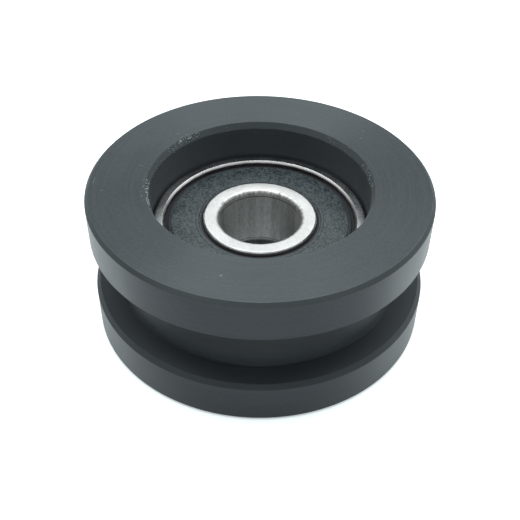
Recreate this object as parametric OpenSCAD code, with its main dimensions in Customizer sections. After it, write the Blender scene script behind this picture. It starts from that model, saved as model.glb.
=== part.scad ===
// Flat-bottomed grooved track wheel: a turned black plastic wheel with a sealed deep-groove ball
// bearing pressed into its bore. Millimetres, +Z along the spin axis. The origin is where that axis
// meets the lower end face, on which the wheel stands.

/* [Wheel] */
// Outside diameter of the two flanges
wheel_d = 50; // [46:0.5:60]
// Width of the wheel between its end faces
wheel_w = 22; // [20:0.5:32]
// Chamfer where the upper end face meets the rim
edge_chamfer = 0.5; // [0.2:0.1:1.5]
// Chamfer where the lower end face meets the rim
lower_edge_chamfer = 0.3; // [0.1:0.1:1.5]

/* [Groove] */
// Width of the groove between its flat walls
groove_w = 8.7; // [6:0.1:11]
// Depth of the groove below the rims
groove_depth = 3.9; // [2:0.1:5]
// Chamfer where the groove walls meet the rims
groove_chamfer = 0.6; // [0.2:0.1:1.2]
// Corner radius that the turning tool leaves at the groove root
groove_root_radius = 0.25; // [0.1:0.05:0.8]

/* [Bearing seat] */
// Depth that the seat bore widens over at its mouth, to guide the bearing in
lead_in_depth = 1.0; // [0.5:0.1:3]
// How much wider the mouth is than the seat, on the radius
lead_in_flare = 0.45; // [0.2:0.05:1]
// Width of the shoulder that stops the bearing
shoulder_step = 1.3; // [0.8:0.05:1.5]
// Chamfer at the lower mouth of the hole through the shoulder
lower_mouth_chamfer = 0.5; // [0.2:0.1:1.2]
// Allowance on the radius between the seat and the pressed-in outer ring
seat_gap = 0.01; // [0.005:0.005:0.02]

/* [Bearing] */
// Outside diameter of the bearing
bearing_od = 32; // [31:0.25:35]
// Bore of the bearing
bearing_bore = 12; // [10:0.25:13]
// Width of the bearing
bearing_w = 10; // [9.5:0.25:14]
// Diameter of a ball
ball_d = 5.95; // [5.5:0.05:6.3]
// Running gap between a ball and each raceway
ball_gap = 0.04; // [0.02:0.01:0.08]
// Raceway cross-section radius as a share of the ball diameter
raceway_conformity = 0.515; // [0.51:0.005:0.53]
// Depth of each raceway below its shoulder
raceway_depth = 1.15; // [0.9:0.05:1.3]
// Corner radius on the outside of the outer ring
ring_corner = 0.6; // [0.3:0.1:1]
// Radial reach of the rounded corners at the mouths of the bearing bore
bore_corner_r = 0.65; // [0.4:0.05:0.9]
// Axial reach of the same corners
bore_corner_z = 0.9; // [0.5:0.05:1.2]
// Edge break on the outside of the inner ring's end faces
face_edge_break = 0.18; // [0.1:0.02:0.3]

/* [Seals] */
// Depth of a seal's outer face below the end faces of the rings
seal_inset = 0.5; // [0.3:0.05:0.7]
// Bevel on the outer ring where the seal is snapped in
seal_bevel = 0.3; // [0.2:0.05:0.4]
// Depth of the seal seat below the outer ring's shoulder, on the radius
seal_seat_step = 1.25; // [1.1:0.05:1.4]
// Depth of the undercut that holds the seal's snapped-in edge
seal_undercut = 0.2; // [0.1:0.05:0.3]
// Axial depth of the seal seat below the end face
seal_seat_depth = 1.4; // [1.3:0.05:1.6]
// Width of the stepped rim between a seal's face and its seat
seal_rim_w = 1.0; // [0.9:0.05:1.1]
// Depth of the groove in that rim
rim_groove_depth = 0.2; // [0.1:0.05:0.25]
// Depth of the bead in that rim below the seal's face
rim_bead_depth = 0.1; // [0.05:0.05:0.15]
// Depth of the snapped-in edge below the seal's face
snap_depth = 0.4; // [0.35:0.05:0.5]
// Step down to the track that a seal's lip runs on
lip_track_step = 0.75; // [0.65:0.05:0.85]
// Axial depth of the lip track below the end face
lip_track_depth = 1.25; // [1.1:0.05:1.4]
// Thickness of the rubber over the steel insert
seal_skin = 0.35; // [0.25:0.05:0.4]
// Thickness of the steel insert
insert_sheet = 0.3; // [0.2:0.05:0.35]
// Gap between a seal's lip and the inner ring
lip_gap = 0.03; // [0.02:0.01:0.1]
// Height of the bead round the seal's lip
lip_bead = 0.08; // [0.04:0.02:0.2]
// Depth of the lip below the seal's face
lip_drop = 0.1; // [0.06:0.02:0.16]

/* [Cage] */
// Radial width of the ribbon cage
cage_w = 2.9; // [2.4:0.1:3.1]
// Thickness of the cage's sheet
cage_sheet = 0.4; // [0.3:0.05:0.45]
// Gap between a ball and its pocket
pocket_gap = 0.06; // [0.04:0.01:0.1]
// Diameter of a rivet's shank
rivet_d = 1.0; // [0.8:0.1:1.2]
// Diameter of a rivet's head
rivet_head_d = 1.8; // [1.5:0.1:2.2]
// Height of a rivet's domed head
rivet_head_h = 0.35; // [0.2:0.05:0.5]
// Gap round a rivet's shank
rivet_gap = 0.01; // [0.005:0.005:0.02]

/* [Hidden] */
$fn = 96;
eps = 0.01;                                            // how far one shape runs into the next
clear = 1;                                             // how far a cutter runs out past what it cuts
ball_count = 7;                                        // balls, with as many rivets between them
corner_steps = 8;                                      // straight steps round a corner of the bore

// Wheel
wheel_r = wheel_d / 2;
groove_r = wheel_r - groove_depth;                     // radius of the groove's flat bottom
groove_low = (wheel_w - groove_w) / 2;                 // height of the groove's lower wall
seat_r = bearing_od / 2 + seat_gap;                    // radius of the bearing seat
seat_z = (wheel_w - bearing_w) / 2;                    // height of the shoulder under the bearing
shoulder_r = bearing_od / 2 - shoulder_step;           // radius of the hole through the shoulder

// Bearing, in heights from its own middle plane
mid_z = wheel_w / 2;
half_w = bearing_w / 2;
ball_r = ball_d / 2;
pitch_r = (bearing_od + bearing_bore) / 4;             // radius of the circle of ball centres
raceway_r = raceway_conformity * ball_d;
inner_race_r = pitch_r - ball_r - ball_gap;            // smallest radius of the inner raceway
outer_race_r = pitch_r + ball_r + ball_gap;            // largest radius of the outer raceway
inner_shoulder_r = inner_race_r + raceway_depth;
outer_shoulder_r = outer_race_r - raceway_depth;
lip_track_r = inner_shoulder_r - lip_track_step;
lip_track_z = half_w - lip_track_depth;
seal_seat_r = outer_shoulder_r + seal_seat_step;
seal_seat_z = half_w - seal_seat_depth;
undercut_r = seal_seat_r + seal_undercut;

// Seal, in heights from the bearing's middle plane
seal_slack = 0.02;                                     // gap between a seal and its undercut
soft_edge = 0.1;                                       // slopes that join the steps of a seal
rim_bead_w = 0.15;                                     // width of the bead in a seal's rim
insert_hold = 0.5;                                     // how far the insert reaches into the rim
insert_cover = 0.25;                                   // rubber between the lip and the insert
lip_w = 0.45;                                          // width of the thin part of the lip
lip_bead_w = 0.3;                                      // width of the bead round the lip
seal_face_z = half_w - seal_inset;
seal_edge_r = seal_seat_r - seal_rim_w;                // outer edge of a seal's flat face
rim_groove_z = seal_face_z - rim_groove_depth;
rim_bead_z = seal_face_z - rim_bead_depth;
rim_bead_r = seal_edge_r + 3 * soft_edge;              // inner edge of the bead in the rim
snap_r = undercut_r - seal_slack;                      // radius of the snapped-in edge
snap_z = seal_face_z - snap_depth;
undercut_top_z = snap_z + soft_edge / 2;
insert_top_z = seal_face_z - seal_skin;
insert_low_z = insert_top_z - insert_sheet;
insert_rim_z = seal_seat_z + soft_edge / 2;            // lower end of the insert's turned-in rim
insert_outer_r = outer_shoulder_r + insert_hold;
lip_tip_r = lip_track_r + lip_gap;
lip_root_r = inner_shoulder_r + lip_bead_w;            // where the lip leaves the seal's disc
lip_top_z = seal_face_z - lip_drop;
lip_low_z = lip_track_z + 2 * soft_edge;               // lower edge of the lip's tip
insert_inner_r = lip_root_r + insert_cover;

// Cage
pocket_r = ball_r + pocket_gap;
cage_inner_r = pitch_r - cage_w / 2;
cage_outer_r = pitch_r + cage_w / 2;
ball_step = 360 / ball_count;

// Puts a piece drawn about the bearing's middle plane at its height in the wheel
module in_bearing() {
    translate([0, 0, mid_z]) children();
}

// The points of an outline's upper half, followed by their mirror images below the middle plane
function with_lower_half(upper) =
    concat(upper, [for (i = [len(upper) - 1:-1:0]) [upper[i].x, -upper[i].y]]);

// A half profile and its mirror image below the middle plane
module both_halves() {
    children();
    mirror([0, 1]) children();
}

// Rectangle from radius r1 to r2 and height z1 to z2
module band(r1, r2, z1, z2) {
    translate([r1, z1]) square([r2 - r1, z2 - z1]);
}

// The same rectangle with all its corners rounded
module rounded_band(r1, r2, z1, z2, radius) {
    band(r1 + radius, r2 - radius, z1, z2);
    band(r1, r2, z1 + radius, z2 - radius);
    for (r = [r1 + radius, r2 - radius], z = [z1 + radius, z2 - radius])
        translate([r, z]) circle(r = radius);
}

// Section of the wheel without its groove
module wheel_blank_profile() {
    polygon([
        [shoulder_r + lower_mouth_chamfer, 0],
        [wheel_r - lower_edge_chamfer, 0],
        [wheel_r, lower_edge_chamfer],
        [wheel_r, wheel_w - edge_chamfer],
        [wheel_r - edge_chamfer, wheel_w],
        [seat_r + lead_in_flare, wheel_w],
        [seat_r, wheel_w - lead_in_depth],
        [seat_r, seat_z],
        [shoulder_r, seat_z],
        [shoulder_r, lower_mouth_chamfer]
    ]);
}

// Section that the groove tool clears, with its chamfers at the rims
module groove_profile() {
    groove_high = groove_low + groove_w;
    tool_r = wheel_r + groove_chamfer;
    rounded_band(groove_r, tool_r, groove_low, groove_high, groove_root_radius);
    polygon([
        [wheel_r - groove_chamfer - eps, groove_low],
        [wheel_r - groove_chamfer, groove_low],
        [tool_r, groove_low - 2 * groove_chamfer],
        [tool_r, groove_high + 2 * groove_chamfer],
        [wheel_r - groove_chamfer, groove_high],
        [wheel_r - groove_chamfer - eps, groove_high]
    ]);
}

module wheel_body() {
    color([0.16, 0.17, 0.18])
        rotate_extrude($fn = 180)
            difference() {
                wheel_blank_profile();
                groove_profile();
            }
}

// Upper half of the outer ring's section, before its raceway is ground
module outer_ring_half() {
    ring_r = bearing_od / 2;
    difference() {
        union() {
            band(outer_shoulder_r, ring_r, -eps, half_w - ring_corner);
            band(outer_shoulder_r, ring_r - ring_corner, -eps, half_w);
            translate([ring_r - ring_corner, half_w - ring_corner]) circle(r = ring_corner);
        }
        band(outer_shoulder_r - clear, seal_seat_r, seal_seat_z, half_w + clear);
        band(seal_seat_r - eps, undercut_r, seal_seat_z, undercut_top_z);
        polygon([
            [seal_seat_r - eps, half_w - seal_bevel],
            [seal_seat_r, half_w - seal_bevel],
            [seal_seat_r + 2 * seal_bevel, half_w + seal_bevel],
            [seal_seat_r - eps, half_w + seal_bevel]
        ]);
    }
}

module outer_ring() {
    color([0.62, 0.63, 0.64])
        in_bearing()
            rotate_extrude($fn = 180)
                difference() {
                    both_halves() outer_ring_half();
                    translate([outer_race_r - raceway_r, 0]) circle(r = raceway_r);
                }
}

// The inner ring's section, before its raceway is ground
module inner_ring_blank() {
    bore_r = bearing_bore / 2;
    upper = concat(
        [for (i = [0:corner_steps])
            let (a = 90 * i / corner_steps)
                [bore_r + bore_corner_r * (1 - cos(a)), half_w - bore_corner_z * (1 - sin(a))]],
        [
            [lip_track_r - face_edge_break, half_w],
            [lip_track_r, half_w - face_edge_break],
            [lip_track_r, lip_track_z],
            [inner_shoulder_r, lip_track_z - lip_track_step / 2]
        ]
    );
    polygon(with_lower_half(upper));
}

module inner_ring() {
    color([0.86, 0.87, 0.87])
        in_bearing()
            rotate_extrude($fn = 180)
                difference() {
                    inner_ring_blank();
                    translate([inner_race_r + raceway_r, 0]) circle(r = raceway_r);
                }
}

// Puts a piece at the place of ball number i, counted from 1
module at_ball(i) {
    rotate([0, 0, (i - 1) * ball_step]) translate([pitch_r, 0, 0]) children();
}

// Ball number i
module ball(i) {
    color([0.80, 0.81, 0.82])
        in_bearing()
            at_ball(i)
                sphere(r = ball_r);
}

// One pressed half of the ribbon cage, above the middle plane
module cage_half() {
    tall = pocket_r + 2 * cage_sheet;                  // clears the crown of every pocket
    difference() {
        intersection() {
            union() {
                cylinder(r = cage_outer_r + clear, h = cage_sheet);
                for (i = [1:ball_count])
                    at_ball(i) sphere(r = pocket_r + cage_sheet);
            }
            difference() {
                cylinder(r = cage_outer_r, h = tall);
                translate([0, 0, -clear]) cylinder(r = cage_inner_r, h = tall + 2 * clear);
            }
        }
        for (i = [1:ball_count]) {
            at_ball(i) sphere(r = pocket_r);
            rotate([0, 0, ball_step / 2])
                at_ball(i)
                    translate([0, 0, -clear])
                        cylinder(d = rivet_d + 2 * rivet_gap, h = cage_sheet + 2 * clear);
        }
    }
}

module cage_upper() {
    color([0.72, 0.70, 0.66])
        in_bearing()
            cage_half();
}

module cage_lower() {
    color([0.68, 0.66, 0.62])
        in_bearing()
            mirror([0, 0, 1]) cage_half();
}

// Section of one rivet: a shank with a dome on each end
module rivet_profile() {
    dome_r = (pow(rivet_head_d / 2, 2) + pow(rivet_head_h, 2)) / (2 * rivet_head_h);
    band(0, rivet_d / 2, -cage_sheet, cage_sheet);
    both_halves()
        intersection() {
            translate([0, cage_sheet + rivet_head_h - dome_r]) circle(r = dome_r);
            band(0, rivet_head_d, cage_sheet, cage_sheet + clear);
        }
}

module cage_rivets() {
    color([0.76, 0.74, 0.70])
        in_bearing()
            for (i = [1:ball_count])
                rotate([0, 0, ball_step / 2])
                    at_ball(i)
                        rotate_extrude($fn = 32) rivet_profile();
}

// Section of the upper seal's rubber
module seal_profile() {
    snap_low_z = seal_seat_z + seal_slack;
    rim_bead_end = rim_bead_r + rim_bead_w;
    polygon([
        [seal_edge_r, seal_face_z],
        [seal_edge_r + soft_edge, rim_groove_z],
        [rim_bead_r - soft_edge, rim_groove_z],
        [rim_bead_r, rim_bead_z],
        [rim_bead_end, rim_bead_z],
        [rim_bead_end + soft_edge, snap_z],
        [snap_r - soft_edge, snap_z],
        [snap_r, snap_z - soft_edge],
        [snap_r, snap_low_z],
        [insert_outer_r, snap_low_z],
        [insert_outer_r, insert_top_z],
        [insert_inner_r, insert_top_z],
        [insert_inner_r, insert_low_z],
        [lip_root_r, insert_low_z],
        [lip_root_r - lip_w, lip_track_z],
        [lip_tip_r, lip_low_z],
        [lip_tip_r, lip_top_z - 2 * soft_edge],
        [lip_tip_r + 2 * soft_edge, lip_top_z],
        [lip_root_r - lip_w, lip_top_z],
        [lip_root_r - lip_bead_w, seal_face_z + lip_bead],
        [lip_root_r, seal_face_z + lip_bead],
        [lip_root_r + soft_edge, seal_face_z]
    ]);
}

// Section of the upper seal's steel insert, a washer with a turned-in rim
module insert_profile() {
    band(insert_inner_r, insert_outer_r, insert_low_z, insert_top_z);
    band(insert_outer_r - insert_sheet, insert_outer_r, insert_rim_z, insert_top_z);
}

module upper_seal() {
    color([0.20, 0.22, 0.23])
        in_bearing()
            rotate_extrude($fn = 180) seal_profile();
}

module lower_seal() {
    color([0.20, 0.22, 0.23])
        in_bearing()
            mirror([0, 0, 1]) rotate_extrude($fn = 180) seal_profile();
}

module upper_seal_insert() {
    color([0.55, 0.56, 0.57])
        in_bearing()
            rotate_extrude($fn = 180) insert_profile();
}

module lower_seal_insert() {
    color([0.55, 0.56, 0.57])
        in_bearing()
            mirror([0, 0, 1]) rotate_extrude($fn = 180) insert_profile();
}

wheel_body();
outer_ring();
inner_ring();
ball(1);  // ball_1
ball(2);  // ball_2
ball(3);  // ball_3
ball(4);  // ball_4
ball(5);  // ball_5
ball(6);  // ball_6
ball(7);  // ball_7
cage_upper();
cage_lower();
cage_rivets();
upper_seal();
upper_seal_insert();
lower_seal();
lower_seal_insert();
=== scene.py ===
"""Looks of a grooved track wheel: the turned plastic wheel, the sealed ball bearing pressed into it
and the plain studio round them.

Sizes in the classes are millimetres. The shared frame has +Z along the spin axis and its origin
where that axis meets the lower end face. A pair of radii, heights or slopes runs from where a mask
is 0 to where it is 1. A finish's contrast is the pair of noise values that show as its two colours,
and its relief is the strength and the depth of its bump.
"""

import logging
import math
from collections.abc import Iterable, Mapping
from dataclasses import dataclass
from enum import Enum
from typing import Any, ClassVar

import bpy
from mathutils import Matrix, Vector


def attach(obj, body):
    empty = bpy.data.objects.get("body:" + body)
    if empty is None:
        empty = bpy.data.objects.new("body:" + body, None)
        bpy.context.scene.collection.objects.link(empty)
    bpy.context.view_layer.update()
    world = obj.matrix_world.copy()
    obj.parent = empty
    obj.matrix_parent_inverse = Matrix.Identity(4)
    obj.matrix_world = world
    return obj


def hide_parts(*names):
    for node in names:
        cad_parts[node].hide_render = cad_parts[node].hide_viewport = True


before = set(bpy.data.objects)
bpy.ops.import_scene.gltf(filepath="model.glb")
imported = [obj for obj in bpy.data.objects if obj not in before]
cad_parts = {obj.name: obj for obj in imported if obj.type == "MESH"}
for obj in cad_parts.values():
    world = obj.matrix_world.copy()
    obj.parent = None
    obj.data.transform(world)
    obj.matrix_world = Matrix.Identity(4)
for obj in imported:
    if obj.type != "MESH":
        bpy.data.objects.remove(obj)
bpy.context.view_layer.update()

MM = 0.001
LOG = logging.getLogger("track_wheel")

Colour = tuple[float, float, float]
Point = tuple[float, float, float]
Pair = tuple[float, float]
Socket = bpy.types.NodeSocket
Tree = bpy.types.NodeTree
Material = bpy.types.Material
Piece = bpy.types.Object
Inputs = Mapping[str | int, Any]

WHITE: Colour = (1.0, 1.0, 1.0)


class Slot(Enum):
    """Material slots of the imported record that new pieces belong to."""

    WHEEL = "wheel_plastic"
    RING = "ring_steel"
    SEAL = "seal_rubber"


class Body(Enum):
    """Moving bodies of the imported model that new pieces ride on."""

    HUB = "hub"
    WHEEL = "wheel"


class Side(Enum):
    """Which end of the bearing a seal closes."""

    UPPER = "upper"
    LOWER = "lower"


# Node graphs


@dataclass(frozen=True)
class Place:
    """Sockets that say where a point of a surface lies, in millimetres."""

    spot: Socket
    flat: Socket
    radius: Socket
    height: Socket


class Graph:
    """Adds nodes to one node tree and joins them."""

    SCALARS = ("LENGTH", "DOT_PRODUCT", "DISTANCE")

    def __init__(self, tree: Tree) -> None:
        """Starts on a tree and clears the nodes that Blender puts there."""
        self.tree = tree
        tree.nodes.clear()

    def node(self, kind: str, inputs: Inputs | None = None, **settings: Any) -> bpy.types.Node:
        """Adds a node.

        Args:
            kind: Blender's name of the node type.
            inputs: What each input takes, by name or place: a socket to join, or a value to set.
            **settings: Options of the node, such as its operation.

        Returns:
            The node.
        """
        made = self.tree.nodes.new(kind)
        for option, value in settings.items():
            setattr(made, option, value)
        for key, feed in (inputs or {}).items():
            socket = made.inputs[key]
            if isinstance(feed, Socket):
                self.tree.links.new(feed, socket)
            else:
                socket.default_value = (*feed, 1.0) if socket.type == "RGBA" else feed
        return made

    def out(self, kind: str, inputs: Inputs | None = None, **settings: Any) -> Socket:
        """Adds a node and returns its first output."""
        return self.node(kind, inputs, **settings).outputs[0]

    def math(self, operation: str, *terms: Socket | float, clamp: bool = False) -> Socket:
        """Joins one to three terms with a Math node, which can hold the result in 0 to 1."""
        inputs = dict(enumerate(terms))
        return self.out("ShaderNodeMath", inputs, operation=operation, use_clamp=clamp)

    def vector(self, operation: str, *terms: Socket | Point, scale: Any = None) -> Socket:
        """Joins vectors with a Vector Math node.

        Args:
            operation: Blender's name of the operation.
            *terms: Vector sockets or triples, in the node's order.
            scale: The factor, for an operation that scales.

        Returns:
            The socket of the vector, or of the number where the operation gives one.
        """
        inputs: dict[str | int, Any] = dict(enumerate(terms))
        if scale is not None:
            inputs["Scale"] = scale
        made = self.node("ShaderNodeVectorMath", inputs, operation=operation)
        return made.outputs["Value" if operation in self.SCALARS else "Vector"]

    def split(self, vector: Socket, axis: str) -> Socket:
        """Returns a vector's part along one axis."""
        return self.node("ShaderNodeSeparateXYZ", {0: vector}).outputs[axis]

    def spot(self) -> Socket:
        """Returns the surface point in millimetres."""
        place = self.node("ShaderNodeTexCoord").outputs["Object"]
        return self.vector("SCALE", place, scale=1 / MM)

    def place(self) -> Place:
        """Returns the surface point, its part across the axis, its radius and its height."""
        spot = self.spot()
        flat = self.vector("MULTIPLY", spot, (1.0, 1.0, 0.0))
        return Place(spot, flat, self.vector("LENGTH", flat), self.split(spot, "Z"))

    def product(self, first: Socket, *others: Socket | float) -> Socket:
        """Multiplies terms together."""
        for other in others:
            first = self.math("MULTIPLY", first, other)
        return first

    def weighted(self, *terms: tuple[Socket, float]) -> Socket:
        """Adds sockets up, each times its own share."""
        total: Any = 0.0
        for socket, share in terms:
            total = self.math("MULTIPLY_ADD", socket, share, total)
        return total

    def inverse(self, value: Socket) -> Socket:
        """Returns 1 minus a value."""
        return self.math("SUBTRACT", 1.0, value)

    def gap(self, value: Socket, centre: float) -> Socket:
        """Returns how far a value is from a centre, either way."""
        return self.math("ABSOLUTE", self.math("SUBTRACT", value, centre))

    def strongest(self, masks: Iterable[Socket]) -> Socket:
        """Joins masks, at least one, by their strongest value."""
        first, *rest = masks
        for mask in rest:
            first = self.math("MAXIMUM", first, mask)
        return first

    def remap(
        self,
        value: Socket,
        source: tuple[float | Socket, float | Socket],
        target: Pair = (0.0, 1.0),
        smooth: bool = False,
    ) -> Socket:
        """Maps one range of values onto another and clamps it.

        Args:
            value: The value to map.
            source: Its two ends before.
            target: Its two ends after.
            smooth: Whether the ends are eased.

        Returns:
            The mapped value's socket.
        """
        inputs = dict(enumerate((value, *source, *target)))
        ease = "SMOOTHSTEP" if smooth else "LINEAR"
        return self.out("ShaderNodeMapRange", inputs, interpolation_type=ease)

    def mix(self, share: Socket, first: Socket | float, second: Socket | float) -> Socket:
        """Mixes two numbers, which a Mix node takes at places 2 and 3."""
        return self.out("ShaderNodeMix", {0: share, 2: first, 3: second}, data_type="FLOAT")

    def blend(self, share: Socket, first: Socket | Colour, second: Socket | Colour) -> Socket:
        """Mixes two colours, which a Mix node takes at places 6 and 7 and gives at place 2."""
        inputs = {0: share, 6: first, 7: second}
        return self.node("ShaderNodeMix", inputs, data_type="RGBA").outputs[2]

    def paint(self, colour: Socket, *layers: tuple[Socket, Socket | Colour]) -> Socket:
        """Lays colours over a first one, each through its own mask."""
        for mask, tint in layers:
            colour = self.blend(mask, colour, tint)
        return colour

    def bump(self, height: Socket, strength: float, depth: float) -> Socket:
        """Returns the normal of a relief whose depth is in millimetres."""
        inputs = {"Strength": strength, "Distance": depth * MM, "Height": height}
        return self.out("ShaderNodeBump", inputs)

    def effect(self, effect: type["Effect"], **values: Any) -> Socket:
        """Places one of the shared effects, with its inputs named in small letters."""
        inputs = {name.capitalize(): feed for name, feed in values.items()}
        return self.out("ShaderNodeGroup", inputs, node_tree=effect.tree())


class Effect:
    """A shader node group with one output, built once and placed in each finish that shows it."""

    name: ClassVar[str]
    takes: ClassVar[Mapping[str, float | Point]]
    gives: ClassVar[str] = "Mask"

    @classmethod
    def tree(cls) -> Tree:
        """Returns the node group, which is built the first time."""
        group = bpy.data.node_groups.get(cls.name)
        if group is None:
            group = bpy.data.node_groups.new(cls.name, "ShaderNodeTree")
            for name, value in cls.takes.items():
                kind = "NodeSocketVector" if isinstance(value, tuple) else "NodeSocketFloat"
                socket = group.interface.new_socket(name, in_out="INPUT", socket_type=kind)
                socket.default_value = value
            group.interface.new_socket(cls.gives, in_out="OUTPUT", socket_type="NodeSocketFloat")
            graph = Graph(group)
            given = graph.node("NodeGroupInput").outputs
            graph.node("NodeGroupOutput", {0: cls.fill(graph, given)})
        return group

    @classmethod
    def fill(cls, graph: Graph, given: Any) -> Socket:
        """Builds the inside of the group.

        Args:
            graph: The group's graph.
            given: The group's inputs, by name.

        Returns:
            The socket that the group puts out.
        """
        raise NotImplementedError


class TurnedNoise(Effect):
    """Noise drawn out round or along a turned surface, for tool marks and ground or honed steel."""

    name = "Turned noise"
    takes = {"Around": 3.0, "Along": 3.0, "Detail": 2.0, "Seed": 0.0}
    gives = "Tone"
    SLANT = 0.62

    @classmethod
    def fill(cls, graph: Graph, given: Any) -> Socket:
        """Builds noise with cells counted per radian around and per millimetre along a section."""
        at = graph.place()
        ring = graph.vector("SCALE", graph.vector("NORMALIZE", at.flat), scale=given["Around"])
        run = graph.math("MULTIPLY_ADD", at.height, cls.SLANT, at.radius)
        lift = graph.math("MULTIPLY_ADD", run, given["Along"], given["Seed"])
        spot = graph.vector("ADD", ring, graph.out("ShaderNodeCombineXYZ", {2: lift}))
        inputs = {"Vector": spot, "Scale": 1.0, "Detail": given["Detail"]}
        return graph.out("ShaderNodeTexNoise", inputs)


class Mottle(Effect):
    """Even mottling with no direction, for rubber, cast skins and the grain of a ground face."""

    name = "Mottle"
    takes = {"Cells": 2.0, "Detail": 3.0, "Seed": 0.0}
    gives = "Tone"

    @classmethod
    def fill(cls, graph: Graph, given: Any) -> Socket:
        """Builds noise whose cells are counted per millimetre."""
        shift = graph.out("ShaderNodeCombineXYZ", {0: given["Seed"], 1: given["Seed"]})
        spot = graph.vector("ADD", graph.spot(), shift)
        inputs = {"Vector": spot, "Scale": given["Cells"], "Detail": given["Detail"]}
        return graph.out("ShaderNodeTexNoise", inputs)


class RimBand(Effect):
    """A band that follows one circular edge of a turned piece, broken up along its length."""

    name = "Rim band"
    takes = {"Radius": 10.0, "Height": 0.0, "Reach": 0.2, "Breaks": 0.5}

    @classmethod
    def fill(cls, graph: Graph, given: Any) -> Socket:
        """Builds a mask that is 1 on the edge and fades to 0 at its reach, all in millimetres."""
        at = graph.place()
        out = graph.math("SUBTRACT", at.radius, given["Radius"])
        up = graph.math("SUBTRACT", at.height, given["Height"])
        square = graph.math("MULTIPLY_ADD", out, out, graph.math("MULTIPLY", up, up))
        near = graph.remap(graph.math("SQRT", square), (given["Reach"], 0.0), smooth=True)
        noise = graph.effect(TurnedNoise, around=9.0, along=2.5, detail=3.0, seed=4.2)
        worn_off = graph.product(graph.remap(noise, (0.35, 0.65)), given["Breaks"])
        return graph.product(near, graph.inverse(worn_off))


class Scuff(Effect):
    """One scratch or nick: a soft-edged line between two points of the surface."""

    name = "Scuff"
    takes = {"Start": (0.0, 0.0, 0.0), "End": (0.0, 0.0, 0.0), "Width": 0.1}
    SHORTEST = 1e-6

    @classmethod
    def fill(cls, graph: Graph, given: Any) -> Socket:
        """Builds a mask from the distance to the line, all in millimetres."""
        run = graph.vector("SUBTRACT", given["End"], given["Start"])
        away = graph.vector("SUBTRACT", graph.spot(), given["Start"])
        dot = graph.vector("DOT_PRODUCT", away, run)
        long = graph.math("MAXIMUM", graph.vector("DOT_PRODUCT", run, run), cls.SHORTEST)
        foot = graph.vector("SCALE", run, scale=graph.math("DIVIDE", dot, long, clamp=True))
        gap = graph.vector("DISTANCE", away, foot)
        return graph.remap(gap, (given["Width"], 0.0), smooth=True)


class Specks(Effect):
    """Sparse specks of dust or grit scattered over a surface."""

    name = "Specks"
    takes = {"Spacing": 2.0, "Size": 0.1, "Share": 0.3, "Seed": 0.0}

    @classmethod
    def fill(cls, graph: Graph, given: Any) -> Socket:
        """Builds a mask of dots in a share of the cells of a random pattern, in millimetres."""
        shift = graph.out("ShaderNodeCombineXYZ", {0: given["Seed"], 2: given["Seed"]})
        spot = graph.vector("ADD", graph.spot(), shift)
        density = graph.math("DIVIDE", 1.0, given["Spacing"])
        cells = graph.node("ShaderNodeTexVoronoi", {"Vector": spot, "Scale": density})
        away = graph.product(cells.outputs["Distance"], given["Spacing"])
        draw = graph.out("ShaderNodeSeparateColor", {0: cells.outputs["Color"]})
        picked = graph.math("LESS_THAN", draw, given["Share"])
        return graph.product(graph.remap(away, (given["Size"], 0.0), smooth=True), picked)


# Finishes


@dataclass(frozen=True)
class Rim:
    """One circular edge of a turned piece: its radius, its height and how far its mark reaches."""

    r: float
    z: float
    reach: float


@dataclass(frozen=True)
class Stroke:
    """One scratch or nick on a surface, from start to end."""

    start: Point
    end: Point
    width: float


def rim_bands(graph: Graph, rims: Iterable[Rim], breaks: float) -> Socket:
    """Joins the bands that follow several edges, broken up by a share from 0 to 1."""
    return graph.strongest(
        graph.effect(RimBand, radius=rim.r, height=rim.z, reach=rim.reach, breaks=breaks)
        for rim in rims
    )


def scuff(graph: Graph, stroke: Stroke) -> Socket:
    """Returns the mask of one scratch or nick."""
    return graph.effect(Scuff, start=stroke.start, end=stroke.end, width=stroke.width)


def strokes_at(height: float, rows: Iterable[tuple[float, ...]]) -> tuple[Stroke, ...]:
    """Lays strokes on a level face from rows of start, end and width."""
    return tuple(Stroke((a, b, height), (c, d, height), width) for a, b, c, d, width in rows)


def new_material(name: str, tint: Colour) -> tuple[Material, Graph]:
    """Makes an empty node material.

    Args:
        name: The material's name.
        tint: The colour that Blender's solid view shows.

    Returns:
        The material and the graph that fills it.
    """
    material = bpy.data.materials.new(name)
    material.use_nodes = True
    material.diffuse_color = (*tint, 1.0)
    return material, Graph(material.node_tree)


class Finish:
    """One surface finish, which says what feeds the shader of its material."""

    name: str
    base: Colour

    def inputs(self, graph: Graph) -> dict[str, Any]:
        """Builds what feeds the shader.

        Args:
            graph: The material's graph.

        Returns:
            The sockets and plain values, by the name of the shader's input.
        """
        raise NotImplementedError

    def material(self) -> Material:
        """Builds the material."""
        material, graph = new_material(self.name, self.base)
        shader = graph.out("ShaderNodeBsdfPrincipled", self.inputs(graph))
        graph.node("ShaderNodeOutputMaterial", {"Surface": shader})
        return material


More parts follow.
